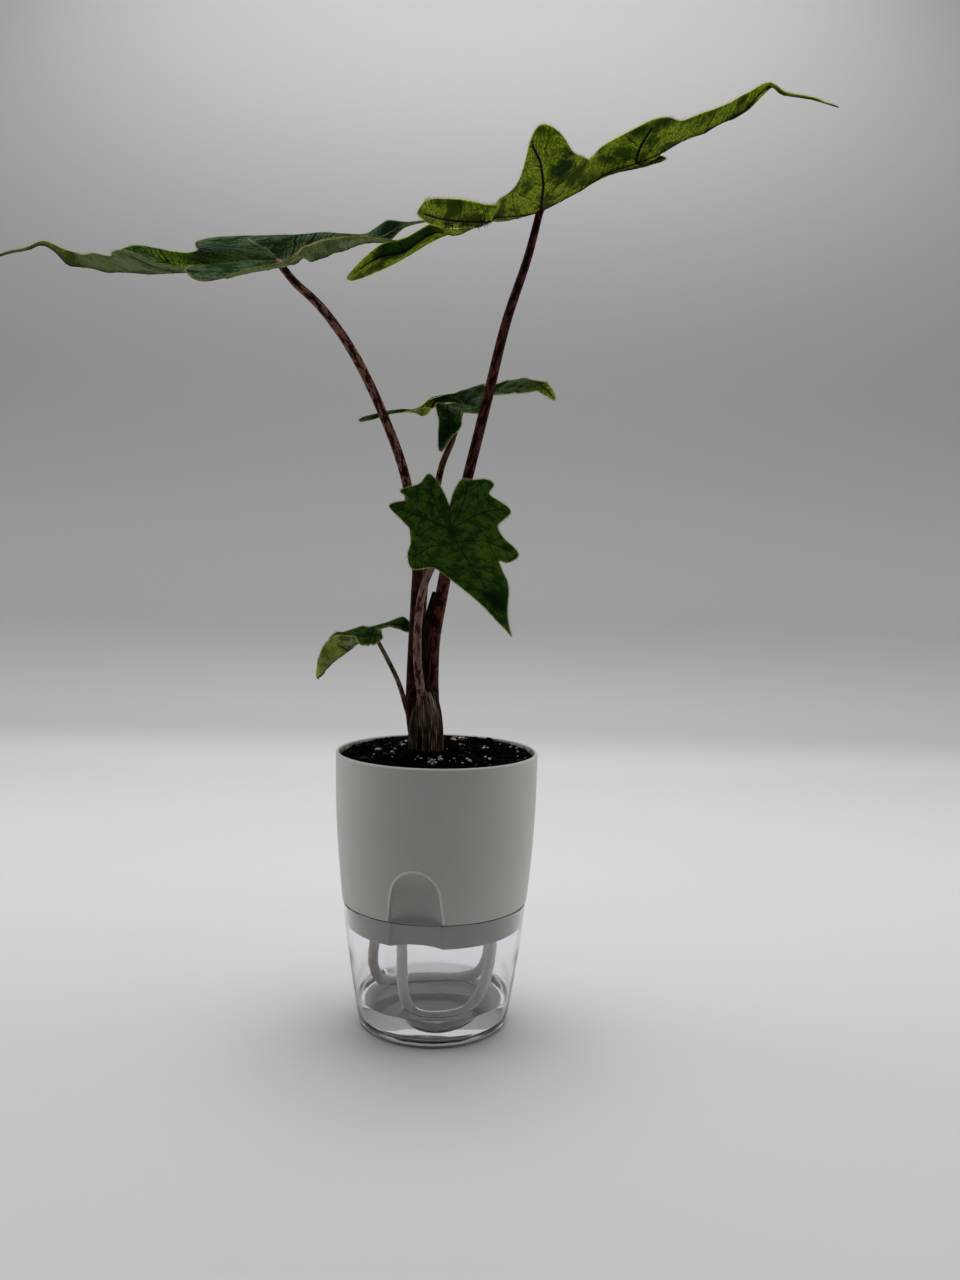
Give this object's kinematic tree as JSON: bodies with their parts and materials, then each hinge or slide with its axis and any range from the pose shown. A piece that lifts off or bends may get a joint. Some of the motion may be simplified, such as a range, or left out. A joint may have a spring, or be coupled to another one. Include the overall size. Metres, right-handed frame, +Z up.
{
  "type": "potted jacklyn alocasia",
  "caption": "Potted alocasia with arrow-shaped, deeply lobed leaves on slender stalks, in a white wick pot hung in a clear water reservoir.",
  "frame": {"origin": "centre of the flat base of the reservoir, on the surface it stands on", "axes": "+Z up, -Y towards the viewer of the picture, +X to that viewer's right"},
  "size_m": [0.469, 0.1554, 0.498],
  "materials": {
    "clear_plastic": "clear, glossy",
    "warm_white_plastic": "satin",
    "water": "clear liquid",
    "cotton": "wet twisted cotton",
    "potting_soil": "moist crumbs",
    "mottled_stalk": "smooth, mottled",
    "leaf_green": "quilted, short hairs",
    "leaf_dark_green": "quilted, short hairs"
  },
  "bodies": {
    "root": {"reservoir": "clear_plastic", "inner_pot": "warm_white_plastic", "water": "water", "wick_front": "cotton", "wick_back": "cotton", "soil": "potting_soil", "stems": "mottled_stalk", "blade_right": "leaf_green", "blade_left": "leaf_dark_green", "blade_front": "leaf_green", "blade_middle": "leaf_green", "blade_low": "leaf_green"}
  },
  "joints": []
}
